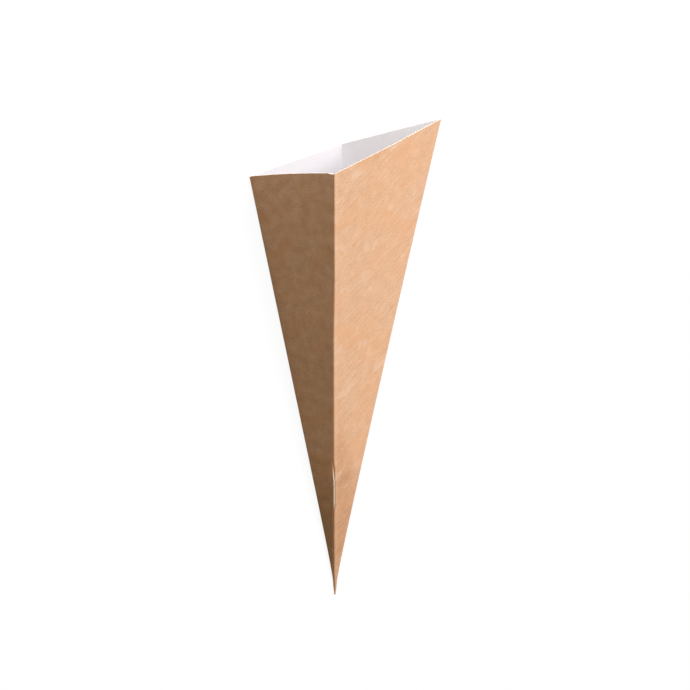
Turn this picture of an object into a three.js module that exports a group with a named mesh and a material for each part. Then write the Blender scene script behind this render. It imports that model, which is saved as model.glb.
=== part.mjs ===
// A pointed paperboard cone for fries. One sheet is folded into four equal triangular panels
// and glued along its front fold. It lies on its back left panel, tip towards -Y, mouth
// towards +Y. Lengths are millimetres and angles are degrees.

import * as THREE from 'three';

// The sheet and its folds
const shortFold = 243;      // left fold, from the point where the panels meet to the mouth
const panelAngle = 14.5;    // each panel at its point
const openAngle = 73.3;     // between the two panels that meet at the left fold
const board = 0.4;          // thickness of the sheet
const creaseRadius = 0.5;   // inside of every fold

// The tip, where the four folds crowd together
const tipSpread = 5.8;      // how far the crowded folds hold the walls apart
const tipPast = 3.5;        // how far the closed tip runs past the panels' meeting point
const tipRound = 0.4;       // height of the rounding at its very end

// The glued seam along the front fold
const flapWidth = 12;       // glue flap, on the inside of the front left panel
const flapMouthWidth = 4;   // what its slanted corner leaves of it at the mouth
const seamInset = 0.3;      // from the panel's cut edge to the start of the fold
const seamStep = 0.12;      // how far the cut edge stands above the fold
const lipLow = 50;          // heights between which the cut edge has come unstuck
const lipHigh = 76;
const lipLift = 0.7;        // how far the loose edge stands out
const lipReach = 6;         // width of the strip that lifts with it

// How far the panels and the longest fold are from flat and straight
const leftBow = -1.4;       // front left panel at the mouth, hollow
const frontBow = 0.8;       // front right panel at the mouth, full
const foldBow = 0.5;        // longest fold, half way up, inwards

// How finely curves are divided
const arcSteps = 4;
const panelSteps = 5;
const lipSteps = 3;
const rowSpacing = 22;
const tipRowSpacing = 3;

const kraft = 0xd6a982;

// Half the angles that the mouth spans across the left and right folds, and across the
// front and back folds, as seen from the point
const angle = THREE.MathUtils.degToRad(panelAngle);
const halfOpen = THREE.MathUtils.degToRad(openAngle) / 2;
const halfWide = Math.atan(Math.tan(angle) * Math.cos(halfOpen));
const halfDeep = Math.asin(Math.sin(angle) * Math.sin(halfOpen));

// For each millimetre of height: half the width, half the depth, and centre to wall
const widthSlope = Math.tan(halfWide);
const depthSlope = Math.tan(halfDeep);
const sideSlope = Math.hypot(widthSlope, depthSlope);
const wallSlope = widthSlope * depthSlope / sideSlope;

// The sheet's thickness across a level section, and the outside of a fold
const wall = board * Math.hypot(1, wallSlope);
const outerRadius = creaseRadius + board;
const roundShare = 0.8;     // most of a section's half thickness that a fold's radius takes

// The sheet's top edge is straight and square to the left fold, so each fold ends higher
// than the one before it. The front right panel mirrors the back right one.
const mouthHeights = {
  left: shortFold * Math.cos(halfWide),
  middle: shortFold / Math.cos(angle) * Math.cos(halfDeep),
  right: shortFold / Math.cos(2 * angle) * Math.cos(halfWide),
};

const { clamp, smoothstep } = THREE.MathUtils;

// Half sizes of a section grow with height like a true pyramid's, but near the tip they
// level off along a hyperbola, because the folds have thickness.
function spread(height) {
  return height / 2 + Math.hypot(height / 2, tipSpread);
}

// Height at which the inside has just room for the flap and its own folds
function hollowFloor() {
  const size = (wall + board + creaseRadius) / wallSlope;
  return size - tipSpread ** 2 / size;
}

// The folds before rounding, in the order left, front, right, back. The swollen tip leans
// forward, so that the back left panel stays one flat plane.
function foldCorners(height) {
  const size = spread(height);
  const lean = -wallSlope * (size - height) * sideSlope / widthSlope;
  const climbed = clamp(height / mouthHeights.right, 0, 1);
  const bow = foldBow * 4 * climbed * (1 - climbed);
  return [
    new THREE.Vector2(-widthSlope * size, lean),
    new THREE.Vector2(0, lean - depthSlope * size),
    new THREE.Vector2(widthSlope * size - bow, lean),
    new THREE.Vector2(0, lean + depthSlope * size),
  ];
}

// One panel's line in a section, from its first fold to the next
function panelLine(start, end) {
  const along = end.clone().sub(start);
  const length = along.length();
  along.divideScalar(length);
  const out = new THREE.Vector2(along.y, -along.x);
  return { start, along, out, length, reach: out.dot(start) };
}

function pointOn(line, share, rise) {
  return line.start.clone().addScaledVector(line.along, share * line.length).addScaledVector(line.out, rise);
}

// Where two panel lines meet after each has moved inwards by its own depth
function meeting(before, after, depthBefore, depthAfter) {
  const a = before.reach - depthBefore;
  const b = after.reach - depthAfter;
  const cross = before.out.cross(after.out);
  return new THREE.Vector2(
    (a * after.out.y - b * before.out.y) / cross,
    (b * before.out.x - a * after.out.x) / cross,
  );
}

function panelBow(panel, height, share) {
  const amount = [leftBow, frontBow, 0, 0][panel];
  const climbed = clamp(height / mouthHeights.middle, 0, 1);
  return amount * climbed ** 2 * Math.sin(Math.PI * share) ** 2;
}

// The loose edge springs out within the top part of the lip and eases back over the rest
function lipRise(height) {
  const springShare = 0.15;
  const down = (lipHigh - height) / (lipHigh - lipLow);
  return lipLift * smoothstep(down, 0, springShare) * (1 - smoothstep(down, springShare, 1));
}

// Places strictly between two shares of a panel's width, as [share, depth below its face]
function evenPlaces(steps, from, to, depth) {
  return Array.from({ length: steps - 1 }, (_, i) => [from + (to - from) * (i + 1) / steps, depth]);
}

// The front left panel's face, up to its cut edge and down onto the fold
function cutPanelOutside(section, line, trim) {
  const edge = 1 - (trim + seamInset * section.fullness) / line.length;
  const hinge = Math.max(edge - lipReach / line.length, edge / 2);
  const places = evenPlaces(panelSteps - 1, 0, hinge, 0);
  for (let step = 0; step <= lipSteps; step += 1) {
    const share = step / lipSteps;
    places.push([hinge + (edge - hinge) * share, -lipRise(section.height) * share ** 2]);
  }
  places.push([edge, seamStep * section.fullness]);
  return places;
}

// The same panel's inside, up to the flap and over it
function cutPanelInside(section, line) {
  const below = Math.max(0, mouthHeights.middle - section.height);
  const width = Math.min(flapWidth, flapMouthWidth + below, line.length / 2);
  const edge = 1 - width / line.length;
  const flapTop = wall + board;
  return [
    ...evenPlaces(panelSteps, 0, edge, wall), [edge, wall],
    [edge, flapTop], ...evenPlaces(2, edge, 1, flapTop),
  ];
}

function panelPlaces(section, panel, line, trim) {
  const steps = [panelSteps, panelSteps, 2, 2][panel];
  if (panel === 0) {
    return section.inside ? cutPanelInside(section, line) : cutPanelOutside(section, line, trim);
  }
  return evenPlaces(steps, 0, 1, section.inside ? wall : 0);
}

// A level section's sizes: fullness falls below 1 where the tip leaves a fold less room
// than its radius
function sectionAt(height, inside) {
  const halfThickness = wallSlope * spread(height) - (inside ? wall : 0);
  const fullRadius = inside ? creaseRadius : outerRadius;
  const radius = Math.min(fullRadius, roundShare * halfThickness);
  return { height, inside, radius, fullness: radius / fullRadius };
}

// Depth of the front left panel's line where it meets the front fold
function seamDepth(section) {
  return section.inside ? wall + board : seamStep * section.fullness;
}

// The loop of points round one section. Each has its place in the section and its share
// of the way round, which counts one for each panel.
function outline(height, inside) {
  const section = sectionAt(height, inside);
  const { radius } = section;
  const corners = foldCorners(height);
  const lines = corners.map((corner, i) => panelLine(corner, corners[(i + 1) % 4]));
  const depth = inside ? wall : 0;
  return lines.flatMap((line, panel) => {
    const before = lines[(panel + 3) % 4];
    const after = lines[(panel + 1) % 4];
    const depthBefore = panel === 1 ? seamDepth(section) : depth;
    const centre = meeting(before, line, depthBefore + radius, depth + radius);
    const turn = before.out.angleTo(line.out);
    const trim = radius * Math.tan(turn / 2) / line.length;
    const arc = Array.from({ length: arcSteps + 1 }, (_, step) => {
      const share = step / arcSteps;
      const heading = before.out.angle() + turn * share;
      const place = new THREE.Vector2(Math.cos(heading), Math.sin(heading));
      return { place: place.multiplyScalar(radius).add(centre), round: panel + (2 * share - 1) * trim };
    });
    const nextTrim = radius * Math.tan(line.out.angleTo(after.out) / 2);
    const face = panelPlaces(section, panel, line, nextTrim).map(([share, down]) => (
      { place: pointOn(line, share, panelBow(panel, height, share) - down), round: panel + share }
    ));
    return [...arc, ...face];
  });
}

// Height of the sheet's top edge in the direction of a point: straight across each panel
function mouthHeight(place) {
  const sideways = Math.abs(place.x) / widthSlope;
  const forward = Math.abs(place.y) / depthSlope;
  const share = forward / (sideways + forward);
  const end = place.x < 0 ? mouthHeights.left : mouthHeights.right;
  return 1 / ((1 - share) / end + share / mouthHeights.middle);
}

// One row of points. Rows are level at the tip and follow the slanted mouth above it.
function row(level, inside) {
  return outline(level, inside).map(({ place }, i) => {
    const height = level <= 0 ? level : level * mouthHeight(place) / mouthHeights.left;
    const exact = outline(height, inside)[i];
    return { point: new THREE.Vector3(exact.place.x, exact.place.y, height), round: exact.round };
  });
}

// Levels of the rows from a lowest one to the mouth: wider apart from the tip upwards, and
// closer where the lip springs out and at the flap's corner
function rowLevels(from) {
  const top = mouthHeights.left;
  const lipRow = (lipHigh - lipLow) / 7;
  const marks = [from, lipHigh - lipRow / 2, top - flapWidth + flapMouthWidth, top];
  for (let gap = tipRowSpacing, mark = from + gap; mark < lipLow; gap *= 1.5, mark += gap) {
    marks.push(mark);
  }
  for (let mark = lipLow; mark < lipHigh + lipRow / 2; mark += lipRow) {
    marks.push(mark);
  }
  for (let mark = lipHigh + rowSpacing; mark < top; mark += rowSpacing) {
    marks.push(mark);
  }
  const sorted = marks.filter((mark) => mark >= from && mark <= top).sort((a, b) => a - b);
  const least = lipRow / 4;
  return sorted.filter((mark, i) => (
    i === 0 || mark === top || (mark - sorted[i - 1] > least && top - mark > least)
  ));
}

// Points and triangles of one closed skin
class Skin {
  constructor() {
    this.points = [];
    this.faces = [];
  }

  addRow(rowPoints) {
    const start = this.points.length;
    this.points.push(...rowPoints.map(({ point }) => point));
    return { start, count: rowPoints.length, rounds: rowPoints.map(({ round }) => round) };
  }

  at(loop, i) {
    return loop.start + i % loop.count;
  }

  addFace(a, b, c, flip) {
    this.faces.push(...(flip ? [a, c, b] : [a, b, c]));
  }

  joinRows(lower, upper, flip) {
    for (let i = 0; i < lower.count; i += 1) {
      const corner = this.at(upper, i + 1);
      this.addFace(this.at(lower, i), this.at(lower, i + 1), corner, flip);
      this.addFace(this.at(lower, i), corner, this.at(upper, i), flip);
    }
  }

  joinAll(rows, flip) {
    rows.slice(1).forEach((upper, i) => this.joinRows(rows[i], upper, flip));
  }

  closeWithPoint(loop, point, flip) {
    const end = this.points.push(point) - 1;
    for (let i = 0; i < loop.count; i += 1) {
      this.addFace(this.at(loop, i + 1), this.at(loop, i), end, flip);
    }
  }

  // The cut edge at the mouth, between an outer and an inner loop of different counts:
  // each step goes forward on the loop that is behind
  zipLoops(outer, inner) {
    const allRound = 4;
    const nextRound = (loop, i) => (i < loop.count ? loop.rounds[i + 1] ?? allRound : Infinity);
    for (let o = 0, n = 0; o < outer.count || n < inner.count;) {
      if (nextRound(outer, o) <= nextRound(inner, n)) {
        this.addFace(this.at(outer, o), this.at(outer, o + 1), this.at(inner, n), false);
        o += 1;
      } else {
        this.addFace(this.at(outer, o), this.at(inner, n + 1), this.at(inner, n), false);
        n += 1;
      }
    }
  }

  geometry() {
    const geometry = new THREE.BufferGeometry().setFromPoints(this.points);
    geometry.setIndex(this.faces);
    geometry.computeVertexNormals();
    return geometry;
  }
}

// The rounded end of the tip: the lowest row, and a smaller one drawn in towards its middle
function tipRows() {
  const lowest = row(tipRound - tipPast, false);
  const middle = new THREE.Vector3();
  lowest.forEach(({ point }) => middle.addScaledVector(point, 1 / lowest.length));
  const end = middle.clone().setZ(-tipPast);
  const bevel = Math.PI / 4;
  const drawnIn = lowest.map(({ point, round }) => {
    const inwards = point.clone().lerp(middle, 1 - Math.cos(bevel));
    return { point: inwards.setZ(middle.z - tipRound * Math.sin(bevel)), round };
  });
  return { end, rows: [drawnIn, lowest] };
}

function sheetGeometry() {
  const skin = new Skin();
  const tip = tipRows();
  const outerLevels = rowLevels(tipRound - tipPast).slice(1);
  const outerRows = [...tip.rows, ...outerLevels.map((level) => row(level, false))];
  const outer = outerRows.map((points) => skin.addRow(points));
  const floor = hollowFloor();
  const inner = rowLevels(floor).map((level) => skin.addRow(row(level, true)));
  skin.closeWithPoint(outer[0], tip.end, false);
  skin.joinAll(outer, false);
  skin.joinAll(inner, true);
  skin.closeWithPoint(inner[0], new THREE.Vector3(0, foldCorners(floor)[0].y, floor), true);
  skin.zipLoops(outer.at(-1), inner.at(-1));
  return skin.geometry();
}

// Turns the cone from its own axis so that the back left panel faces down and the line
// midway between that panel's two folds points along +Y
function lyingTurn() {
  const left = new THREE.Vector3(-widthSlope, 0, 1).normalize();
  const back = new THREE.Vector3(0, depthSlope, 1).normalize();
  const yAxis = left.clone().add(back).normalize();
  const zAxis = back.clone().cross(left).normalize();
  const xAxis = yAxis.clone().cross(zAxis);
  return new THREE.Matrix4().makeBasis(xAxis, yAxis, zAxis).transpose();
}

function friesCone() {
  const geometry = sheetGeometry().applyMatrix4(lyingTurn());
  geometry.computeBoundingBox();
  const middle = geometry.boundingBox.getCenter(new THREE.Vector3());
  const material = new THREE.MeshStandardMaterial({ color: kraft, roughness: 0.85, metalness: 0 });
  const mesh = new THREE.Mesh(geometry, material);
  mesh.name = 'fries_cone';
  mesh.position.set(-middle.x, -middle.y, 0);
  return mesh;
}

const model = new THREE.Group();
model.add(friesCone());

export default model;
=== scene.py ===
# %% [markdown]
# # A kraft paper cone for fries
# The real thing is one sheet of board, brown kraft outside and white inside. It is folded
# into four long triangular panels that meet in a point, and glued to itself along the
# front fold. It can't stand on its point, so it lies on its back left panel.
# This file dresses the packed model: it keeps the model's place and size, and makes the
# same sheet again with fine folds, real cut edges and a procedural paper finish.

# %% Load the packed model
import math
from collections import namedtuple

import bpy
import numpy as np
from mathutils import Matrix, Vector


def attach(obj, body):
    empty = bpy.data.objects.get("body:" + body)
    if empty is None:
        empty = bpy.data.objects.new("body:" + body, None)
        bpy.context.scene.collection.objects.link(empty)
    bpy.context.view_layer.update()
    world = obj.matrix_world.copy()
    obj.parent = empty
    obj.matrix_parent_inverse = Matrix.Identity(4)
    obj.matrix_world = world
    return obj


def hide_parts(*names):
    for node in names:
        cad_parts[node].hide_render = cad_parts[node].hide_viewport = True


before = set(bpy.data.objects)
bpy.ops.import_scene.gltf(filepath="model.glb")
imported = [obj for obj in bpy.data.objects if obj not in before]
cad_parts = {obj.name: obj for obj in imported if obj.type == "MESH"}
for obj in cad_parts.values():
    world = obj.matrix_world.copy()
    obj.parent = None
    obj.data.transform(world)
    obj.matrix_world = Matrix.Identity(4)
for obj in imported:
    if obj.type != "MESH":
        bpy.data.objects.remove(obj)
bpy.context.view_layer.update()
MM = 0.001
print("packed nodes:", sorted(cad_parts))

# %% [markdown]
# ## Writing node trees as sums
# A tree of Math nodes is hard to read. Here a socket is wrapped in a Term, so that an
# ordinary expression such as 1 - mask * 0.5 adds the Math nodes it needs. Every other
# node comes from one method, which sets the node's options first and its sockets after.

# %% Terms
class Term:
    """The number or vector that one socket gives."""

    def __init__(self, nodes, socket):
        self.nodes = nodes
        self.socket = socket

    def math(self, operation, other=None):
        return self.nodes.math(operation, self, other)

    def from_first(self, operation, first):
        return self.nodes.math(operation, first, self)

    def __add__(self, other):
        return self.math("ADD", other)

    def __radd__(self, first):
        return self.from_first("ADD", first)

    def __sub__(self, other):
        return self.math("SUBTRACT", other)

    def __rsub__(self, first):
        return self.from_first("SUBTRACT", first)

    def __mul__(self, other):
        return self.math("MULTIPLY", other)

    def __rmul__(self, first):
        return self.from_first("MULTIPLY", first)

    def __truediv__(self, other):
        return self.math("DIVIDE", other)

    def __pow__(self, other):
        return self.math("POWER", other)

    def __neg__(self):
        return self.math("MULTIPLY", -1)

    def __abs__(self):
        return self.math("ABSOLUTE")

    def __gt__(self, other):
        return self.math("GREATER_THAN", other)

    def least(self, other):
        return self.math("MINIMUM", other)

    def most(self, other):
        return self.math("MAXIMUM", other)


print("a term can:", sorted(name.strip("_") for name, what in vars(Term).items() if callable(what)))

# %% [markdown]
# ## Adding nodes
# Every tree needs the same few kinds of node: a sum, a smooth step, a noise, a blend of two
# colours. One class adds them, for shaders and for geometry, and gives a Term back.

# %% Nodes
# The Mix node has sockets for every kind of value. These are the numbers of its colour ones.
MIX_SHARE, MIX_FIRST, MIX_SECOND, MIX_RESULT = 0, 6, 7, 2


class Nodes:
    """Adds nodes to one tree."""

    def __init__(self, tree):
        self.tree = tree

    def feed(self, socket, value):
        if isinstance(value, Term):
            self.tree.links.new(value.socket, socket)
        else:
            socket.default_value = value

    def add(self, kind, settings, values, output=0):
        node = self.tree.nodes.new(kind)
        for name, value in settings.items():
            setattr(node, name, value)
        for name, value in values.items():
            self.feed(node.inputs[name], value)
        return Term(self, node.outputs[output])

    def math(self, operation, first, second=None):
        values = {0: first} if second is None else {0: first, 1: second}
        return self.add("ShaderNodeMath", {"operation": operation}, values)

    def smooth(self, value, low, high):
        ends = {"Value": value, "From Min": low, "From Max": high}
        return self.add("ShaderNodeMapRange", {"interpolation_type": "SMOOTHSTEP"}, ends)

    def within(self, value, rise, fall):
        """1 between two smooth steps, and 0 outside them."""
        return self.smooth(value, *rise) * (1 - self.smooth(value, *fall))

    def vector(self, x, y, z=0.0):
        return self.add("ShaderNodeCombineXYZ", {}, {"X": x, "Y": y, "Z": z})

    def axis(self, vector, index):
        return self.add("ShaderNodeSeparateXYZ", {}, {"Vector": vector}, index)

    def noise(self, across, along, pattern):
        place = self.vector(across / pattern.wide, along / pattern.long, pattern.layer)
        values = {"Vector": place, "Scale": 1.0, "Detail": pattern.detail, "Roughness": pattern.roughness}
        return self.add("ShaderNodeTexNoise", {}, values)

    def blend(self, share, first, second):
        values = {MIX_SHARE: share, MIX_FIRST: first, MIX_SECOND: second}
        return self.add("ShaderNodeMix", {"data_type": "RGBA"}, values, MIX_RESULT)

    def mix_shaders(self, share, first, second):
        return self.add("ShaderNodeMixShader", {}, {0: share, 1: first, 2: second})

    def show(self, shader, output_kind="ShaderNodeOutputMaterial"):
        output = self.tree.nodes.new(output_kind)
        self.tree.links.new(shader.socket, output.inputs["Surface"])


print("node helpers:", [name for name in vars(Nodes) if not name.startswith("_")])

# %% [markdown]
# ## The sheet's sizes
# These are the packed model's own sizes. Each panel takes 14.5 degrees at the point, and
# the open angle between the two panels at the left fold settles the rest: how fast the
# cone gets wider and deeper with height, and how high each fold ends at the slanted mouth.

# %% Sizes
SHORT_FOLD = 243 * MM
PANEL_ANGLE = math.radians(14.5)
OPEN_ANGLE = math.radians(73.3)
BOARD = 0.4 * MM
OUTER_RADIUS = 0.9 * MM
ROUND_SHARE = 0.8
TIP_SPREAD = 5.8 * MM
TIP_PAST = 3.5 * MM
TIP_ROUND = 0.4 * MM
CREASE_RADIUS = OUTER_RADIUS - BOARD

HALF_WIDE = math.atan(math.tan(PANEL_ANGLE) * math.cos(OPEN_ANGLE / 2))
HALF_DEEP = math.asin(math.sin(PANEL_ANGLE) * math.sin(OPEN_ANGLE / 2))
WIDE = math.tan(HALF_WIDE)
DEEP = math.tan(HALF_DEEP)
SIDE = math.hypot(WIDE, DEEP)
WALL_SLOPE = WIDE * DEEP / SIDE
SLANT = math.hypot(1, WALL_SLOPE)
WALL = BOARD * SLANT

MOUTH_LEFT = SHORT_FOLD * math.cos(HALF_WIDE)
MOUTH_MIDDLE = SHORT_FOLD / math.cos(PANEL_ANGLE) * math.cos(HALF_DEEP)
MOUTH_RIGHT = SHORT_FOLD / math.cos(2 * PANEL_ANGLE) * math.cos(HALF_WIDE)
print("folds end at", [round(mouth / MM, 1) for mouth in (MOUTH_LEFT, MOUTH_MIDDLE, MOUTH_RIGHT)], "mm")

# %% [markdown]
# ## How the cone lies
# Its own axis runs from the point up through the mouth. To lie down it turns so that the
# back left panel faces the floor and the length runs towards +Y. The three axes below are
# the world's, as the upright cone sees them.

# %% The lying turn
POINT_PLACE = Vector((-12.519, -130.293, 0.0)) * MM
LEFT_FOLD = Vector((-WIDE, 0, 1)).normalized()
BACK_FOLD = Vector((0, DEEP, 1)).normalized()
LENGTH_AXIS = (LEFT_FOLD + BACK_FOLD).normalized()
UP_AXIS = BACK_FOLD.cross(LEFT_FOLD).normalized()
ACROSS_AXIS = LENGTH_AXIS.cross(UP_AXIS)
print("axes:", [tuple(round(v, 3) for v in axis) for axis in (ACROSS_AXIS, LENGTH_AXIS, UP_AXIS)])

# %% [markdown]
# ## The camera
# The photograph shows the cone upright and turned. The cone lies down here, so the camera
# takes the same place relative to it: it looks down from the cone's left, rolled so that
# the cone's length stands upright in the picture. A long lens from over two metres keeps
# the perspective as flat as the photograph's.

# %% Camera
CAMERA_FROM_POINT = Vector((-1149.405, 552.728, 1869.910)) * MM
CAMERA_RIGHT = Vector((0.83467675, -0.09144881, 0.54309469))
CAMERA_UP = Vector((0.17686911, 0.97839191, -0.10708217))
SENSOR = 36.0
FOCAL_IN_PICTURE_WIDTHS = 4000 / 690
FARTHEST_SEEN = 20.0


def add_camera(place, right, up):
    back = right.cross(up).normalized()
    camera = bpy.data.objects.new("photo_camera", bpy.data.cameras.new("photo_camera"))
    camera.data.sensor_width = SENSOR
    camera.data.lens = SENSOR * FOCAL_IN_PICTURE_WIDTHS
    camera.data.clip_end = FARTHEST_SEEN
    turn = Matrix((right.normalized(), back.cross(right).normalized(), back)).transposed().to_4x4()
    camera.matrix_world = Matrix.Translation(place) @ turn
    bpy.context.scene.collection.objects.link(camera)
    bpy.context.scene.camera = camera
    return camera


photo_camera = add_camera(POINT_PLACE + CAMERA_FROM_POINT, CAMERA_RIGHT, CAMERA_UP)
print("camera at", [round(v, 3) for v in photo_camera.location])
print("lens", round(photo_camera.data.lens, 1), "mm")

# %% [markdown]
# ## Columns of the sheet
# The sheet is drawn first as a grid that is easy to make: columns run from the tip to the
# mouth, rows run round the cone. A column says where it stands in a level section: near
# which fold corner, which way it faces, and how far it keeps from the glued front edge.
# The lengths that change with height are left to the folding rule further down.

# %% Panels
# Four panels and four folds, counted from the left one. Each panel starts at its own fold.
FRONT_LEFT, FRONT_RIGHT, BACK_RIGHT, BACK_LEFT = range(4)
FOLDS = LEFT, FRONT, RIGHT, BACK = range(4)
CORNERS = [(-WIDE, 0), (0, -DEEP), (WIDE, 0), (0, DEEP)]
ROUND_BACK = [(-SIDE / DEEP, 0), (0, -SIDE / WIDE), (SIDE / DEEP, 0), (0, SIDE / WIDE)]
FACINGS = [(sideways * DEEP / SIDE, forward * WIDE / SIDE)
           for sideways, forward in ((-1, -1), (1, -1), (1, 1), (-1, 1))]
TRIMS = [WIDE / DEEP, DEEP / WIDE, WIDE / DEEP, DEEP / WIDE]
SEAM_SHIFT = (SIDE / (2 * DEEP), SIDE / (2 * WIDE))
CHART_START = [-WIDE ** 2 / SIDE, -DEEP ** 2 / SIDE, -WIDE ** 2 / SIDE, -DEEP ** 2 / SIDE]
FRONT_TURN = math.atan(DEEP ** 2 / SIDE / SLANT)
RIGHT_TURN = PANEL_ANGLE + math.atan(WIDE ** 2 / SIDE / SLANT)
CHART_TURNS = [-FRONT_TURN, FRONT_TURN, RIGHT_TURN, -RIGHT_TURN]
BOWS = [-0.5 * MM, 0.8 * MM, 0.0, 0.0]
COLUMN_PARTS = ("corner_x", "corner_y", "round_x", "round_y", "facing_x", "facing_y",
                "seam_x", "seam_y", "front_fold", "right_fold", "share", "bow", "from_edge",
                "from_reach", "from_flap", "pull", "lip", "edge", "step", "root", "flap")


def next_fold(index):
    return (index + 1) % len(FOLDS)


def mixed(pairs, start, share):
    before, after = pairs[start], pairs[next_fold(start)]
    return [a + (b - a) * share for a, b in zip(before, after)]


def chart_of(panel, share, round_part):
    return (CHART_START[panel] + SIDE * share, round_part, CHART_TURNS[panel])


def panel_column(panel, share, **parts):
    """A column at this share of the way from the panel's own fold to the next one."""
    corner_and_round = (*mixed(CORNERS, panel, share), *mixed(ROUND_BACK, panel, share))
    seam = 1 - share if panel == FRONT_RIGHT else 0
    trim = TRIMS[panel] * (1 - share) - TRIMS[next_fold(panel)] * share
    chart = chart_of(panel, share, trim)
    near = {panel: 1 - share, next_fold(panel): share}
    column = dict(zip(COLUMN_PARTS, (*corner_and_round, *FACINGS[panel])))
    column |= {"seam_x": SEAM_SHIFT[0] * seam, "seam_y": SEAM_SHIFT[1] * seam}
    column |= {f"{name}_fold": near.get(fold, 0)
               for name, fold in (("left", LEFT), ("front", FRONT), ("right", RIGHT))}
    column |= {"share": share, "bow": BOWS[panel], "before": chart, "after": chart}
    return column | parts


print("panels face", [tuple(round(v, 3) for v in facing) for facing in FACINGS])

# %% [markdown]
# ## Round the folds
# Board does not fold to a sharp line: its outer face turns over a small radius. A few
# columns at the same corner, each facing a little further round, give that turn.

# %% Folds
ARC_STEPS = 8


def arc_columns(fold):
    """The columns round one fold. The flat sheet's chart changes panel halfway."""
    panel_before = (fold - 1) % len(FOLDS)
    start = math.atan2(FACINGS[panel_before][1], FACINGS[panel_before][0])
    end = math.atan2(FACINGS[fold][1], FACINGS[fold][0])
    turn = (end - start) % math.tau
    columns = []
    for step in range(ARC_STEPS + 1):
        share = step / ARC_STEPS
        heading = start + turn * share
        to_middle = 1 - 2 * share
        before = chart_of(panel_before, 1, -TRIMS[fold] * max(to_middle, 0))
        after = chart_of(fold, 0, TRIMS[fold] * max(-to_middle, 0))
        column = panel_column(fold, 0, facing_x=math.cos(heading), facing_y=math.sin(heading), bow=0.0)
        column["before"] = before if share <= 0.5 else after
        column["after"] = before if share < 0.5 else after
        columns.append(column)
    return columns


print("columns round each fold:", len(arc_columns(FRONT)))

# %% [markdown]
# ## The glued edge
# The front left panel ends in the cut edge that lies on its neighbour's glue flap. Columns
# stand where the flap begins, along the strip that can lift, at the edge's top and bottom,
# and at the root where the lifted strip meets the flap again.

# %% Glued edge
PANEL_STEPS = [14, 18, 12, 12]
REACH_STEPS = 4
LIP_STEPS = 6


def glued_column(**parts):
    """A column of the front left panel that keeps its distance from the cut edge."""
    return panel_column(FRONT_LEFT, 1, from_edge=1, **parts)


def front_left_columns():
    """The panel up to the flap, over the flap to the cut edge, and down that edge."""
    steps = PANEL_STEPS[FRONT_LEFT]
    plain = [panel_column(FRONT_LEFT, i / steps, from_edge=i / steps, from_flap=i / steps)
             for i in range(1, steps)]
    flap_edge = [glued_column(from_flap=1, flap=flap) for flap in (0, 1)]
    over_flap = [glued_column(from_reach=i / REACH_STEPS, from_flap=1 - i / REACH_STEPS, flap=1)
                 for i in range(1, REACH_STEPS)]
    lip = [glued_column(from_reach=1 - i / LIP_STEPS, pull=i / LIP_STEPS, lip=(i / LIP_STEPS) ** 2, flap=1)
           for i in range(LIP_STEPS + 1)]
    under = [glued_column(pull=1, lip=1, edge=1, flap=1),
             glued_column(step=1, root=1, flap=1),
             glued_column(step=1, flap=1)]
    return plain + flap_edge + over_flap + lip + under


print("columns of the front left panel:", len(front_left_columns()))

# %% [markdown]
# ## All columns and where they end
# The columns go once round the cone from the left fold. The mouth is one straight slanted
# cut over each panel, so how high a column ends follows from where it stands.

# %% Columns
LEFT_DIP = 0.5 * MM


def all_columns():
    columns = arc_columns(LEFT) + front_left_columns()
    for panel in (FRONT_RIGHT, BACK_RIGHT, BACK_LEFT):
        steps = PANEL_STEPS[panel]
        columns += arc_columns(panel)
        columns += [panel_column(panel, i / steps) for i in range(1, steps)]
    return columns


def mouth_height(column):
    """How high this column ends. The slanted cut is straight on each panel."""
    place = [column[f"corner_{axis}"] * MOUTH_LEFT - column[f"round_{axis}"] * OUTER_RADIUS
             + column[f"facing_{axis}"] * OUTER_RADIUS for axis in "xy"]
    sideways, forward = abs(place[0]) / WIDE, abs(place[1]) / DEEP
    share = forward / (sideways + forward)
    end = MOUTH_LEFT if place[0] < 0 else MOUTH_RIGHT
    return 1 / ((1 - share) / end + share / MOUTH_MIDDLE) - LEFT_DIP * column["left_fold"]


COLUMNS = all_columns()
EDGE_TOP = next(i for i, column in enumerate(COLUMNS) if column.get("edge")) - 1
FLAP_EDGE = next(i for i, column in enumerate(COLUMNS) if column.get("flap")) - 1
print("columns:", len(COLUMNS))
print("cut edge after column", EDGE_TOP, "and flap edge after column", FLAP_EDGE)

# %% [markdown]
# ## Rows of the sheet
# The rows climb the outside from the round tip to the mouth, cross the cut edge of the
# board there, and go down the inside as far as it stays open. They stand closer where
# the shape changes quickly: at the tip, along the loose part of the seam and at the mouth.

# %% Rows
LIP_LOW = 48 * MM
LIP_HIGH = 79 * MM
LIP_MARGIN = 2 * MM
LIP_ROW = 0.7 * MM
FINEST_ROW = 0.5 * MM
WIDEST_ROW = 3.2 * MM
ROW_GROWTH = 0.12
LEAST_LAST_ROW = 0.2 * MM
EDGE_BEVEL = 0.05 * MM
RIM_DEPTHS = (0.12, 0.5, 0.88)
DOME_ROWS = 4


def hollow_floor():
    """The height at which the inside has just room for the flap and its own folds."""
    size = (WALL + BOARD + CREASE_RADIUS) / WALL_SLOPE
    return size - TIP_SPREAD ** 2 / size


def row_gap(level):
    if LIP_LOW - LIP_MARGIN < level < LIP_HIGH + LIP_MARGIN:
        return LIP_ROW
    from_end = min(level + TIP_PAST, MOUTH_LEFT - level)
    return min(WIDEST_ROW, FINEST_ROW + from_end * ROW_GROWTH)


def levels_between(low, high):
    levels = [low]
    while levels[-1] + row_gap(levels[-1]) < high - LEAST_LAST_ROW:
        levels.append(levels[-1] + row_gap(levels[-1]))
    return levels + [high]


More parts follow.
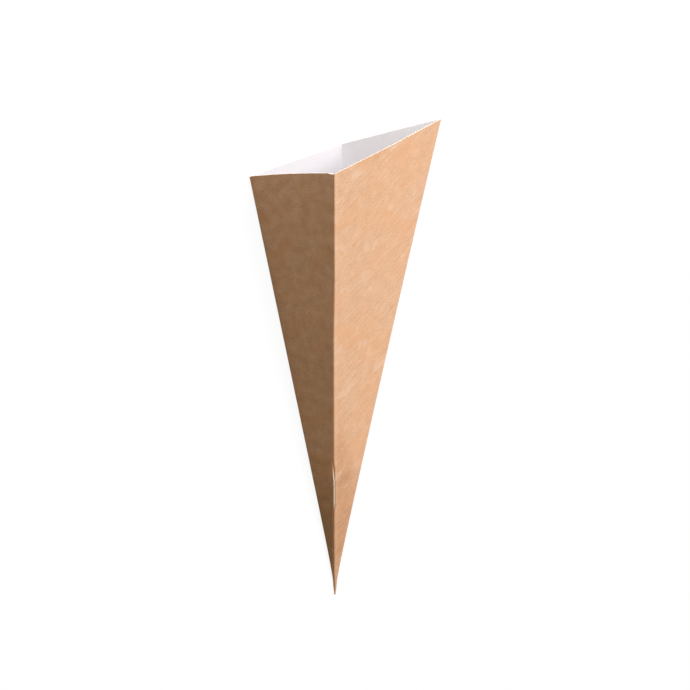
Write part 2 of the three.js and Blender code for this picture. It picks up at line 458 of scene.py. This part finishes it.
def all_rows():
    """Each row as its level, its depth into the board and its share of the full width."""
    below_rim = MOUTH_LEFT - EDGE_BEVEL
    dome = [(-TIP_PAST, 0, 0)]
    for step in range(1, DOME_ROWS):
        angle = math.pi / 2 * (1 - step / DOME_ROWS)
        dome.append((-TIP_PAST + TIP_ROUND * (1 - math.sin(angle)), 0, math.cos(angle)))
    outside = [(level, 0, 1) for level in levels_between(TIP_ROUND - TIP_PAST, below_rim)]
    rim = [(MOUTH_LEFT, depth, 1) for depth in RIM_DEPTHS]
    inside = [(level, 1, 1) for level in reversed(levels_between(hollow_floor(), below_rim))]
    closing = [(hollow_floor(), 1, 0.5), (hollow_floor(), 1, 0)]
    return dome + outside + rim + inside + closing


ROWS = all_rows()
print("rows:", len(ROWS), "vertices:", len(ROWS) * len(COLUMNS))

# %% [markdown]
# ## The grid that gets folded
# One mesh holds rows times columns of points, closed round the cone. Each point carries
# what its row and column say as attributes, and each face says which skin of the board it
# is: brown face, white lining or cut edge. The place on the flat sheet is kept on the
# faces' corners, because the drawn sheet is cut at the back fold, where one point has two.

# %% Grid
KRAFT_SKIN, LINING_SKIN, EDGE_SKIN = range(3)
ROW_PARTS = ("level", "depth", "drawn")


def skin_of(row, column):
    """The skin of the face above this row and after this column."""
    lower, upper = ROWS[row][1], ROWS[row + 1][1]
    if lower != upper:
        return EDGE_SKIN
    if lower:
        return EDGE_SKIN if column == FLAP_EDGE else LINING_SKIN
    return {EDGE_TOP: EDGE_SKIN, EDGE_TOP + 1: LINING_SKIN}.get(column, KRAFT_SKIN)


def store(mesh, name, kind, domain, values):
    attribute = mesh.attributes.new(name, kind, domain)
    field = "vector" if kind == "FLOAT_VECTOR" else "value"
    attribute.data.foreach_set(field, np.asarray(values).ravel())


def sheet_grid():
    count = len(COLUMNS)
    points = [(i * MM, row[0], row[1] * MM) for row in ROWS for i in range(count)]
    faces, skins, charts = [], [], []
    for row in range(len(ROWS) - 1):
        for i in range(count):
            after = (i + 1) % count
            low, high = row * count, (row + 1) * count
            faces.append((low + i, low + after, high + after, high + i))
            skins.append(skin_of(row, i))
            here, there = COLUMNS[i]["after"], COLUMNS[after]["before"]
            charts += [here, there, there, here]
    mesh = bpy.data.meshes.new("folded_cone")
    mesh.from_pydata(points, [], faces)
    for index, name in enumerate(ROW_PARTS):
        store(mesh, name, "FLOAT", "POINT", np.repeat([row[index] for row in ROWS], count))
    by_column = {name: [column.get(name, 0) for column in COLUMNS] for name in COLUMN_PARTS}
    by_column["mouth"] = [mouth_height(column) for column in COLUMNS]
    for name, values in by_column.items():
        store(mesh, name, "FLOAT", "POINT", np.tile(values, len(ROWS)))
    store(mesh, "chart", "FLOAT_VECTOR", "CORNER", charts)
    store(mesh, "skin", "INT", "FACE", skins)
    return mesh


grid = bpy.data.objects.new("folded_cone", sheet_grid())
bpy.context.scene.collection.objects.link(grid)
print("grid:", len(grid.data.vertices), "points,", len(grid.data.polygons), "faces")

# %% [markdown]
# ## Paper
# All three skins of the board are paper: matt, with hardly a shine and a very fine relief.
# They share the last nodes of the material, and they all read the place on the flat sheet,
# so that what is drawn on the paper bends with the folds.

# %% Paper
BUMP_STRENGTH = 0.6
PAPER_SPECULAR = 0.25


def start_material(name):
    material = bpy.data.materials.new(name)
    material.use_nodes = True
    material.node_tree.nodes.clear()
    return material, Nodes(material.node_tree)


def sheet_place(nodes):
    """The place on the flat sheet in mm: across from the front fold, and up from the point."""
    place = nodes.add("ShaderNodeAttribute", {"attribute_name": "sheet_place"}, {}, "Vector")
    return nodes.axis(place, 0) / MM, nodes.axis(place, 1) / MM


def finish_paper(nodes, colour, height, rough, relief):
    values = {"Strength": BUMP_STRENGTH, "Distance": relief, "Height": height}
    bump = nodes.add("ShaderNodeBump", {}, values)
    paper = {"Base Color": colour, "Roughness": rough, "Normal": bump,
             "Specular IOR Level": PAPER_SPECULAR}
    nodes.show(nodes.add("ShaderNodeBsdfPrincipled", {}, paper))


print("paper: bump strength", BUMP_STRENGTH, "and specular level", PAPER_SPECULAR)

# %% [markdown]
# ## Kraft streaks
# Brown kraft board is pale where its fibres lie dense and darker between them, in slanting
# streaks from the way the pulp was laid. The photograph shows them clearly right of the
# front fold and hardly at all left of it. Stretched noise makes streaks of any length, and a
# wider noise makes them come and go. Sizes and places are in millimetres.

# %% Kraft streaks
Pattern = namedtuple("Pattern", "wide long layer detail roughness", defaults=(2.0, 0.5))
STREAK_ANGLE = math.radians(49)
STREAKS = Pattern(wide=1.0, long=14, layer=0.0, detail=3.0, roughness=0.7)
FIBRES = Pattern(wide=0.5, long=3.5, layer=5.0, roughness=0.7)
PATCHES = Pattern(wide=8, long=16, layer=45.0)
PATCH_FADE = (0.35, 0.65)
PATCH_LEAST = 0.6
LEFT_STREAKED = 0.3
NOISE_MEAN = 0.5
# The tip and shade strengths below are painted shade, and the fold one is a painted highlight.
TONE = {"middle": 0.57, "streaks": 0.95, "fibres": 0.7,
        "tip": 0.40, "ridge": 0.12, "crease": 0.6, "shade": 0.25}


def streak_tone(nodes, over, along, right, streaks, fibres):
    """Fibre streaks, stronger in some patches and weak left of the front fold."""
    streaked = LEFT_STREAKED + (1 - LEFT_STREAKED) * right
    patches = nodes.smooth(nodes.noise(over, along, PATCHES), *PATCH_FADE)
    shown = streaked * (PATCH_LEAST + patches * (1 - PATCH_LEAST))
    swing = (streaks - NOISE_MEAN) * TONE["streaks"] + (fibres - NOISE_MEAN) * TONE["fibres"]
    return streaked, shown * swing


print("streaks:", STREAKS.wide, "by", STREAKS.long, "mm at", round(math.degrees(STREAK_ANGLE)), "degrees")

# %% [markdown]
# ## Kraft crease and painted light
# In the photograph the paper is darker towards the tip and beside the lower front fold, and
# pale in a thin band just right of the front fold. Here these are painted shade and a painted
# highlight. A faint crease crosses the left panel low down. Each mark is a soft mask on the
# sheet that makes the tone paler or darker. A mask's fade says where it begins and ends, and a
# span has one fade in, one out.

# %% Kraft crease and painted light
RIGHT_OF_FOLD = (-2, 2)
# Where the painted shade towards the tip fades out, in mm up from the point.
PAINTED_TIP_SHADE_FADE = (35, 95)
# Where the painted highlight just right of the front fold lies.
PAINTED_HIGHLIGHT_MIDDLE, PAINTED_HIGHLIGHT_FADE = 1.3, (0.2, 1.3)
CREASE_HEIGHT, CREASE_SLOPE, CREASE_FADE = 25, 0.25, (0.1, 0.5)
CREASE_SPAN = ((-7, -4), (-1, 0))
# Where the painted shade beside the lower front fold lies.
SHADE_SPAN_ACROSS = (RIGHT_OF_FOLD, (4, 15))
SHADE_SPAN_UP = ((50, 68), (80, 115))


def crease_and_painted_light_tone(nodes, across, up):
    """Painted shade towards the tip and beside the lower front fold, a painted highlight beside the front
    fold, and a crease.
    """
    # Painted shade: darker towards the tip.
    tip = 1 - nodes.smooth(up, *PAINTED_TIP_SHADE_FADE)
    # Painted highlight: paler in a thin band just right of the front fold.
    ridge = 1 - nodes.smooth(abs(across - PAINTED_HIGHLIGHT_MIDDLE), *PAINTED_HIGHLIGHT_FADE)
    crease = 1 - nodes.smooth(abs(up + across * CREASE_SLOPE - CREASE_HEIGHT), *CREASE_FADE)
    crease = crease * nodes.within(across, *CREASE_SPAN)
    # Painted shade: darker beside the lower front fold.
    shade = nodes.within(across, *SHADE_SPAN_ACROSS) * nodes.within(up, *SHADE_SPAN_UP)
    return ridge * TONE["ridge"] + crease * TONE["crease"] - tip * TONE["tip"] - shade * TONE["shade"]


print("crease", CREASE_HEIGHT, "mm above the point, tip darker below", PAINTED_TIP_SHADE_FADE[1], "mm")

# %% [markdown]
# ## Kraft face
# The tone from streaks, clouds, grain, the crease and painted light picks a brown between a
# dark and a pale one. Soft orange and bleached spots and a few dark specks lie over it, and
# painted shade darkens the paper low on the left. The fibres also give it a fine bump. Nodes
# alone make all of this, so it stays sharp at any distance.

# %% Kraft material
KRAFT_PALE = (0.985, 0.65, 0.435, 1)
KRAFT_DARK = (0.60, 0.31, 0.165, 1)
KRAFT_ORANGE = (0.86, 0.45, 0.235, 1)
KRAFT_BLEACHED = (0.94, 0.69, 0.54, 1)
# The colour of the painted shade low on the left panel.
KRAFT_PAINTED_SHADE = (0.44, 0.26, 0.13, 1)
SPECK_COLOUR = (0.40, 0.19, 0.09, 1)
CLOUD = Pattern(wide=6, long=6, layer=9.0, detail=3.0)
CLOUD_PLAIN, CLOUD_STREAKED = 1.3, 0.9
GRAIN = Pattern(wide=0.8, long=0.8, layer=3.0, detail=3.0, roughness=0.8)
GRAIN_PLAIN, GRAIN_STREAKED = 2.2, 1.0
# Each kind of spot as its pattern, fade, share and colour
SPOTS = ((Pattern(wide=16, long=30, layer=21.0), (0.4, 0.7), 0.45, KRAFT_ORANGE),
         (Pattern(wide=7, long=13, layer=33.0), (0.56, 0.74), 0.4, KRAFT_BLEACHED))
# Where and how strongly the painted shade darkens the left panel low down.
LOW_LEFT_SHADE_FADE, LOW_LEFT_SHADE_SHARE = (40, 75), 0.55
SPECKS = Pattern(wide=0.9, long=0.9, layer=14.0, detail=1.0)
SPECK_FADE, SPECK_SHARE = (0.73, 0.80), 0.35
FIBRE_RELIEF = 0.6
KRAFT_ROUGH, KRAFT_ROUGH_SWING = 0.80, 0.15
KRAFT_RELIEF = 0.06 * MM


def kraft_material():
    material, nodes = start_material("kraft_face")
    across, up = sheet_place(nodes)
    along = across * math.sin(STREAK_ANGLE) + up * math.cos(STREAK_ANGLE)
    over = across * math.cos(STREAK_ANGLE) - up * math.sin(STREAK_ANGLE)
    streaks, fibres = nodes.noise(over, along, STREAKS), nodes.noise(over, along, FIBRES)
    cloud, grain = nodes.noise(across, up, CLOUD), nodes.noise(across, up, GRAIN)
    right = nodes.smooth(across, *RIGHT_OF_FOLD)
    streaked, tone = streak_tone(nodes, over, along, right, streaks, fibres)
    tone = tone + TONE["middle"]
    tone = tone + (cloud - NOISE_MEAN) * (CLOUD_PLAIN - streaked * CLOUD_STREAKED)
    tone = tone + (grain - NOISE_MEAN) * (GRAIN_PLAIN - streaked * GRAIN_STREAKED)
    # The crease, and the painted shade and highlight by the tip and the front fold.
    tone = tone + crease_and_painted_light_tone(nodes, across, up)
    paper = nodes.blend(tone.least(1).most(0), KRAFT_DARK, KRAFT_PALE)
    for pattern, fade, share, colour in SPOTS:
        shown = nodes.smooth(nodes.noise(over, along, pattern), *fade)
        paper = nodes.blend(shown * share, paper, colour)
    # Painted shade: darker low on the left panel.
    painted_low_left_shade = (1 - right) * (1 - nodes.smooth(up, *LOW_LEFT_SHADE_FADE))
    paper = nodes.blend(painted_low_left_shade * LOW_LEFT_SHADE_SHARE, paper, KRAFT_PAINTED_SHADE)
    specks = nodes.smooth(nodes.noise(across, up, SPECKS), *SPECK_FADE)
    paper = nodes.blend(specks * SPECK_SHARE, paper, SPECK_COLOUR)
    height = fibres * FIBRE_RELIEF + grain * (1 - FIBRE_RELIEF)
    rough = KRAFT_ROUGH + (streaks - NOISE_MEAN) * KRAFT_ROUGH_SWING
    finish_paper(nodes, paper, height, rough, KRAFT_RELIEF)
    return material


KRAFT = kraft_material()
print("material:", KRAFT.name, len(KRAFT.node_tree.nodes), "nodes")

# %% [markdown]
# ## White lining
# The inside is a smooth white pulp layer, a little cool and matt. A faint cloudiness and a
# fine bump keep it from looking like plastic.

# %% Lining material
LINING_PALE = (0.645, 0.625, 0.65, 1)
LINING_DARK = (0.60, 0.575, 0.60, 1)
LINING_CLOUD = Pattern(wide=6, long=6, layer=2.0, detail=3.0)
LINING_GRAIN = Pattern(wide=0.4, long=0.4, layer=6.0, roughness=0.7)
LINING_TONE = {"middle": 0.5, "cloud": 0.8, "grain": 0.5}
LINING_ROUGH, LINING_ROUGH_SWING = 0.7, 0.15
LINING_RELIEF = 0.03 * MM


def lining_material():
    material, nodes = start_material("white_lining")
    across, up = sheet_place(nodes)
    cloud = nodes.noise(across, up, LINING_CLOUD) - NOISE_MEAN
    grain = nodes.noise(across, up, LINING_GRAIN)
    tone = LINING_TONE["middle"] + cloud * LINING_TONE["cloud"] + (grain - NOISE_MEAN) * LINING_TONE["grain"]
    paper = nodes.blend(tone.least(1).most(0), LINING_DARK, LINING_PALE)
    finish_paper(nodes, paper, grain, LINING_ROUGH + cloud * LINING_ROUGH_SWING, LINING_RELIEF)
    return material


LINING = lining_material()
print("material:", LINING.name, len(LINING.node_tree.nodes), "nodes")

# %% [markdown]
# ## Cut edge
# Where the knife went through, the board shows its pale core in thin layers. Along the
# glued seam the edge is rubbed and brown, and it is pale at the mouth and where the loose
# part of the seam stands open. The folding rule stores where it is bare.

# %% Cut edge material
CORE_PALE = (0.95, 0.84, 0.73, 1)
CORE_DARK = (0.80, 0.62, 0.48, 1)
CORE_RUBBED = (0.60, 0.345, 0.20, 1)
LAYERS = Pattern(wide=0.7, long=0.7, layer=4.0, detail=3.0, roughness=0.7)
LAYER_FADE = (0.3, 0.7)
EDGE_ROUGH, EDGE_ROUGH_SWING = 0.85, 0.1
EDGE_RELIEF = 0.05 * MM


def edge_material():
    material, nodes = start_material("cut_edge")
    layers = nodes.noise(*sheet_place(nodes), LAYERS)
    core = nodes.blend(nodes.smooth(layers, *LAYER_FADE), CORE_DARK, CORE_PALE)
    bare = nodes.add("ShaderNodeAttribute", {"attribute_name": "bare"}, {}, "Fac")
    paper = nodes.blend(bare.least(1), CORE_RUBBED, core)
    rough = EDGE_ROUGH + (layers - NOISE_MEAN) * EDGE_ROUGH_SWING
    finish_paper(nodes, paper, layers, rough, EDGE_RELIEF)
    return material


EDGE = edge_material()
print("material:", EDGE.name, len(EDGE.node_tree.nodes), "nodes")

# %% [markdown]
# ## The folding rule
# One rule turns the flat grid into the cone, so Geometry Nodes suit it: each point works
# out its height, how wide the cone is there, how round its folds are and how far the glued
# edge has lifted, and moves to its place. The tip swells, because four folds have
# thickness. Its sizes are inputs of the tree, so they can be tried out in Blender.

# %% Sizes of the fold
SIZES = {
    "Board": BOARD,
    "Fold radius": OUTER_RADIUS,
    "Tip spread": TIP_SPREAD,
    "Flap width": 12 * MM,
    "Flap width at mouth": 4 * MM,
    "Seam inset": 0.3 * MM,
    "Seam step": 0.12 * MM,
    "Lip low": LIP_LOW,
    "Lip high": LIP_HIGH,
    "Lip lift": 0.75 * MM,
    "Lip reach": 6 * MM,
    "Lip overhang": 0.6 * MM,
    "Fold bow": 0.5 * MM,
    "Right spread": 0.55 * MM,
    "Front stray": 0.5 * MM,
    "Tip taper": 0.35,
}
print("sizes of the fold under a millimetre:",
      {name: round(size / MM, 2) for name, size in SIZES.items() if size < MM})

# %% [markdown]
# ## Measuring one point
# First each point measures the cone around it: how wide it is at this height, how round its
# folds are, how far the glued edge has lifted there and how far the point slides from the
# front fold. Heights along the lip are shares of the way down it, from its top to its low
# end. A span says where something fades in and where it fades out again.

# %% Measures of the fold
SPRINGS_OUT = (0.0, 0.26)
FIRST_EASES, FIRST_SHARE = (0.26, 0.5), 0.35
LAST_EASES = (0.8, 1.03)
LOOSE_SPAN = ((0.0, 0.2), (0.85, 1.05))
OVERHANG_SPAN = ((0.15, 0.45), (0.85, 1.03))
BARE_SPAN = ((0.1, 0.3), (0.9, 1.0))
BARE_RIM = 0.2 * MM
FLAP_SHARE_OF_ROOM = 0.6
REACH_SHARE_OF_FLAP = 0.6
GROOVE_SHARE = 0.7


class FoldMeasures:
    """What one point of the grid measures of the cone around it."""

    def __init__(self, nodes, sizes):
        self.nodes = nodes
        self.sizes = sizes
        self.level, self.depth = self.read("level"), self.read("depth")
        self.measure_section()
        self.measure_lip()
        self.measure_slide()

    def read(self, name, kind="FLOAT"):
        """What the point's row or column says."""
        return self.nodes.add("GeometryNodeInputNamedAttribute", {"data_type": kind}, {"Name": name})

    def measure_section(self):
        """How high the point is, how wide the cone is there and how round its folds are."""
        self.height = self.level * (1 + (self.level > 0) * (self.read("mouth") / MOUTH_LEFT - 1))
        half = self.height * 0.5
        self.size = half + (half ** 2 + self.sizes["Tip spread"] ** 2) ** 0.5
        self.radius = (self.size * (WALL_SLOPE * ROUND_SHARE)).least(self.sizes["Fold radius"])
        self.straight = self.size * SIDE - self.radius * (WIDE / DEEP + DEEP / WIDE)

    def measure_lip(self):
        """How far the glued edge has lifted, and what of it is loose, spread and bare."""
        nodes, sizes = self.nodes, self.sizes
        down = (sizes["Lip high"] - self.height) / (sizes["Lip high"] - sizes["Lip low"])
        eased = (nodes.smooth(down, *FIRST_EASES) * FIRST_SHARE
                 + nodes.smooth(down, *LAST_EASES) * (1 - FIRST_SHARE))
        self.rise = nodes.smooth(down, *SPRINGS_OUT) * (1 - eased) * sizes["Lip lift"]
        self.loose = nodes.within(down, *LOOSE_SPAN)
        self.hanging = nodes.within(down, *OVERHANG_SPAN)
        self.bare = nodes.within(down, *BARE_SPAN) + (self.level > MOUTH_LEFT - BARE_RIM)
        full = self.radius / sizes["Fold radius"]
        self.step = sizes["Seam step"] * full
        self.inset = sizes["Seam inset"] * full

    def measure_slide(self):
        """How far the point keeps from the front fold, towards the left one."""
        sizes, read = self.sizes, self.read
        below = (MOUTH_MIDDLE - self.height).most(0)
        room = self.straight - self.inset
        flap_width = sizes["Flap width"].least(sizes["Flap width at mouth"] + below) - self.inset
        flap_width = flap_width.least(room * FLAP_SHARE_OF_ROOM)
        reach = sizes["Lip reach"].least(flap_width * REACH_SHARE_OF_FLAP)
        gap = (self.rise + self.step - sizes["Board"]).most(0)
        gap = gap / (sizes["Lip lift"] + self.step - sizes["Board"])
        groove = reach * GROOVE_SHARE * gap * (1 - self.depth)
        self.slide = -(read("from_edge") * self.inset + read("from_reach") * reach
                       + read("from_flap") * flap_width + read("root") * groove
                       - read("pull") * sizes["Lip overhang"] * self.hanging * (1 - self.depth))


print("a point measures:", [name for name in vars(FoldMeasures) if name.startswith("measure")])

# %% [markdown]
# ## Placing one point
# Then the point moves: to its corner of the cone, round the fold, out or in by what the lip
# and the board's thickness ask for, and along the bow of its panel. The real panels are not
# quite flat, nor the folds quite straight, and the photograph's outline shows it.

# %% Places of the fold
LOOSE_EDGE_SWELL = 0.6
STRAY_STARTS = (0.0, 10 * MM)
STRAY_ENDS = (150 * MM, 190 * MM)
TAPER_ENDS = 2 * MM


class FoldingRule(FoldMeasures):
    """Where one point of the grid goes."""

    def panel_bow(self):
        """How far out the point's panel bows, most in its middle and at the mouth."""
        climbed = (self.height / MOUTH_MIDDLE).least(1).most(0)
        share = (self.read("share") + self.slide / self.straight).least(1).most(0)
        return self.read("bow") * climbed ** 2 * (share * math.pi).math("SINE") ** 2

    def right_bow(self):
        """How far in the right fold is drawn halfway up. At the mouth it spreads instead."""
        climbed = (self.height / MOUTH_RIGHT).least(1).most(0)
        return self.sizes["Fold bow"] * 4 * climbed * (1 - climbed) - self.sizes["Right spread"] * climbed

    def front_stray(self):
        """How far the front fold strays to the left low down, where it is still glued."""
        smooth = self.nodes.smooth
        return (self.sizes["Front stray"] * (1 - smooth(self.height, *STRAY_ENDS)) * (1 - self.loose)
                * smooth(self.height, *STRAY_STARTS))

    def outwards(self):
        """How far out of the panel's outer face the point lies."""
        board, depth = self.sizes["Board"], self.depth
        edge_height = (board * (1 + self.loose * LOOSE_EDGE_SWELL)).least(self.step + self.rise)
        face = (self.read("lip") * self.rise - self.read("edge") * edge_height
                - self.read("step") * self.step)
        inner = board * SLANT + self.read("flap") * board
        return face * (1 - depth) - depth * inner + self.panel_bow()

    def place(self):
        """The point's place in the room, as three numbers."""
        read, size, radius, height = self.read, self.size, self.radius, self.height
        out = radius + self.outwards()
        seam = self.step * (1 - self.depth) + self.sizes["Board"] * self.depth
        x = (read("corner_x") * size - read("round_x") * radius + read("seam_x") * seam
             + read("facing_x") * out + self.slide * (WIDE / SIDE)
             - read("right_fold") * self.right_bow() - read("front_fold") * self.front_stray())
        y = (read("corner_y") * size - read("round_y") * radius + read("seam_y") * seam
             + read("facing_y") * out - self.slide * (DEEP / SIDE))
        above_taper = self.nodes.smooth(height, -TIP_PAST, TAPER_ENDS)
        drawn = read("drawn") * (1 - self.sizes["Tip taper"] * (1 - above_taper))
        lean = (size - height) * (-WALL_SLOPE * SIDE / WIDE)
        x, y = x * drawn, y * drawn + lean
        return [x * axis.x + y * axis.y + height * axis.z + offset
                for axis, offset in zip((ACROSS_AXIS, LENGTH_AXIS, UP_AXIS), POINT_PLACE)]

    def flat_place(self):
        """The point's place on the flat sheet, which the paper's pattern reads."""
        nodes, chart = self.nodes, self.read("chart", "FLOAT_VECTOR")
        across = nodes.axis(chart, 0) * self.size + nodes.axis(chart, 1) * self.radius + self.slide
        up = self.size * SLANT
        turn = nodes.axis(chart, 2)
        return nodes.vector(across * turn.math("COSINE") + up * turn.math("SINE"),
                            up * turn.math("COSINE") - across * turn.math("SINE"))


print("a point's place needs:", [name for name in vars(FoldingRule) if not name.startswith("_")])

# %% [markdown]
# ## The folding tree
# The tree takes the flat grid and the rule's sizes. It stores what the paper's finish needs,
# moves each point to its place and merges coincident points, which closes the seam where it
# is glued shut. Then each skin of the board gets its own material.

# %% Folding tree
MERGE_DISTANCE = 0.001 * MM
# The numbers of the Compare node's sockets for whole numbers
COMPARE_FIRST, COMPARE_SECOND = 2, 3


def start_tree(name):
    tree = bpy.data.node_groups.new(name, "GeometryNodeTree")
    tree.interface.new_socket("Sheet", in_out="INPUT", socket_type="NodeSocketGeometry")
    tree.interface.new_socket("Cone", in_out="OUTPUT", socket_type="NodeSocketGeometry")
    inputs = {}
    for size, value in SIZES.items():
        socket = tree.interface.new_socket(size, in_out="INPUT", socket_type="NodeSocketFloat")
        inputs[socket.identifier] = value
    return tree, inputs


def stored(nodes, geometry, name, kind, domain, value):
    settings = {"data_type": kind, "domain": domain}
    values = {"Geometry": geometry, "Name": name, "Value": value}
    return nodes.add("GeometryNodeStoreNamedAttribute", settings, values)


def with_material(nodes, geometry, material, selection=True):
    values = {"Geometry": geometry, "Selection": selection, "Material": material}
    return nodes.add("GeometryNodeSetMaterial", {}, values)


def folding_tree():
    tree, inputs = start_tree("fold_the_sheet")
    nodes = Nodes(tree)
    source = tree.nodes.new("NodeGroupInput")
    rule = FoldingRule(nodes, {name: Term(nodes, source.outputs[name]) for name in SIZES})
    place, flat = nodes.vector(*rule.place()), rule.flat_place()
    shape = Term(nodes, source.outputs["Sheet"])
    shape = stored(nodes, shape, "sheet_place", "FLOAT_VECTOR", "CORNER", flat)
    shape = stored(nodes, shape, "bare", "FLOAT", "POINT", rule.bare)
    shape = nodes.add("GeometryNodeSetPosition", {}, {"Geometry": shape, "Position": place})
    shape = nodes.add("GeometryNodeMergeByDistance", {}, {"Geometry": shape, "Distance": MERGE_DISTANCE})
    shape = nodes.add("GeometryNodeRealizeInstances", {}, {"Geometry": shape})
    shape = with_material(nodes, shape, KRAFT)
    skin = rule.read("skin", "INT")
    for index, material in ((LINING_SKIN, LINING), (EDGE_SKIN, EDGE)):
        settings = {"data_type": "INT", "operation": "EQUAL"}
        chosen = nodes.add("FunctionNodeCompare", settings, {COMPARE_FIRST: skin, COMPARE_SECOND: index})
        shape = with_material(nodes, shape, material, chosen)
    tree.links.new(shape.socket, tree.nodes.new("NodeGroupOutput").inputs["Cone"])
    return tree, inputs


FOLDING, FOLDING_INPUTS = folding_tree()
print("folding tree:", len(FOLDING.nodes), "nodes,", len(FOLDING_INPUTS), "sizes")

# %% [markdown]
# ## Folding it
# The tree runs as a modifier once. Its result is taken as a plain mesh, because the export
# and the checks want finished meshes, and the working attributes are dropped. Folds stay
# smooth, and the board's cut edges stay crisp.

# %% Fold the sheet
CRISP_ANGLE = math.radians(38)
WORKING_ATTRIBUTES = (*COLUMN_PARTS, *ROW_PARTS, "mouth", "chart", "skin")


def folded(sheet):
    modifier = sheet.modifiers.new("fold", "NODES")
    modifier.node_group = FOLDING
    for identifier, value in FOLDING_INPUTS.items():
        modifier[identifier] = value
    graph = bpy.context.evaluated_depsgraph_get()
    mesh = bpy.data.meshes.new_from_object(sheet.evaluated_get(graph))
    bpy.data.objects.remove(sheet)
    for name in WORKING_ATTRIBUTES:
        mesh.attributes.remove(mesh.attributes[name])
    mesh.shade_smooth()
    mesh.set_sharp_from_angle(angle=CRISP_ANGLE)
    piece = bpy.data.objects.new("folded_cone", mesh)
    bpy.context.scene.collection.objects.link(piece)
    return piece


folded_cone = folded(grid)
corners = np.array(folded_cone.bound_box) / MM
print("folded cone:", len(folded_cone.data.polygons), "faces")
print("box", corners.min(axis=0).round(2), "to", corners.max(axis=0).round(2), "mm")
print("materials", [material.name for material in folded_cone.data.materials])

# %% [markdown]
# ## Floor
# The photograph's background is plain white. The floor shows white to the camera and keeps
# a soft shadow, while the light that it throws back onto the cone is held low, so that the
# left panel stays as dark as it is in the photograph.

# %% Floor
FLOOR_HALF = 6.0
FLOOR_DROP = 0.2 * MM
FLOOR_SEEN = (0.97, 0.97, 1.0, 1)
FLOOR_BOUNCE = (0.27, 0.235, 0.17, 1)
WHITE = (1, 1, 1, 1)
GLOW_SHARE = 0.91


def seen_directly(nodes):
    """1 for rays that show a thing to the camera, also by a mirror or through glass."""
    camera, glossy, through = (nodes.add("ShaderNodeLightPath", {}, {}, name) for name in
                               ("Is Camera Ray", "Is Glossy Ray", "Is Transmission Ray"))
    return camera.most(glossy).most(through)


def floor_material():
    material, nodes = start_material("studio_floor")
    lit = nodes.add("ShaderNodeBsdfDiffuse", {}, {"Color": FLOOR_SEEN})
    glow = nodes.add("ShaderNodeEmission", {}, {"Color": WHITE, "Strength": 1.0})
    bounce = nodes.add("ShaderNodeBsdfDiffuse", {}, {"Color": FLOOR_BOUNCE})
    shown = nodes.mix_shaders(GLOW_SHARE, lit, glow)
    nodes.show(nodes.mix_shaders(seen_directly(nodes), bounce, shown))
    return material


def add_floor():
    mesh = bpy.data.meshes.new("studio_floor")
    half = FLOOR_HALF
    corners = [(-half, -half, 0), (half, -half, 0), (half, half, 0), (-half, half, 0)]
    mesh.from_pydata(corners, [], [(0, 1, 2, 3)])
    mesh.materials.append(floor_material())
    floor = bpy.data.objects.new("studio_floor", mesh)
    floor.location.z = -FLOOR_DROP
    bpy.context.scene.collection.objects.link(floor)
    return floor


studio_floor = add_floor()
print("floor:", studio_floor.name, "half width", FLOOR_HALF, "m")

# %% [markdown]
# ## Light
# One large soft lamp stands up and to the cone's right, towards its mouth. It lights the
# front right panel fully and only grazes the front left panel, which gets its light from
# the room. A small lamp low beyond the mouth lights the lining, and a weak, slightly warm
# world stands for the room.

# %% Light
KEY_DIRECTION = Vector((0.28, 0.42, 0.86)).normalized()
KEY_DISTANCE = 3.0
KEY_SIZE = 1.2
KEY_STRENGTH = 3.55
MOUTH_LIGHT_PLACE = Vector((-0.095, 0.485, 0.049))
MOUTH_LIGHT_AIM = Vector((0.0, 0.12, 0.03))
MOUTH_LIGHT_SIZE = 0.08
MOUTH_LIGHT_STRENGTH = 1.75 * math.pi
ROOM_COLOUR = (0.95, 0.82, 0.60, 1)
ROOM_STRENGTH = 0.155


def add_lamp(name, place, aim, size, strength):
    """A round lamp that gives this many watts per square metre to a surface at the aim."""
    away = place - aim
    lamp = bpy.data.lights.new(name, "AREA")
    lamp.shape = "DISK"
    lamp.size = size
    lamp.energy = strength * math.pi * away.length ** 2
    holder = bpy.data.objects.new(name, lamp)
    holder.location = place
    holder.rotation_euler = away.to_track_quat("Z", "Y").to_euler()
    holder.visible_camera = False
    bpy.context.scene.collection.objects.link(holder)
    return holder


def light_room():
    world = bpy.data.worlds.new("studio_room")
    world.use_nodes = True
    world.node_tree.nodes.clear()
    nodes = Nodes(world.node_tree)
    room = nodes.add("ShaderNodeBackground", {}, {"Color": ROOM_COLOUR, "Strength": ROOM_STRENGTH})
    shown = nodes.add("ShaderNodeBackground", {}, {"Color": WHITE, "Strength": 1.0})
    nodes.show(nodes.mix_shaders(seen_directly(nodes), room, shown), "ShaderNodeOutputWorld")
    bpy.context.scene.world = world


key_light = add_lamp("key_light", KEY_DIRECTION * KEY_DISTANCE, Vector((0, 0, 0)), KEY_SIZE, KEY_STRENGTH)
mouth_light = add_lamp("mouth_light", MOUTH_LIGHT_PLACE, MOUTH_LIGHT_AIM, MOUTH_LIGHT_SIZE,
                       MOUTH_LIGHT_STRENGTH)
light_room()
bpy.context.scene.view_settings.view_transform = "Standard"
for lamp in (key_light, mouth_light):
    print(lamp.name, round(lamp.data.energy, 2), "W at", [round(v, 2) for v in lamp.location])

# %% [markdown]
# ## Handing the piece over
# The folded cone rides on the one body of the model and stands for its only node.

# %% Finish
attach(folded_cone, "root")
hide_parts("fries_cone")
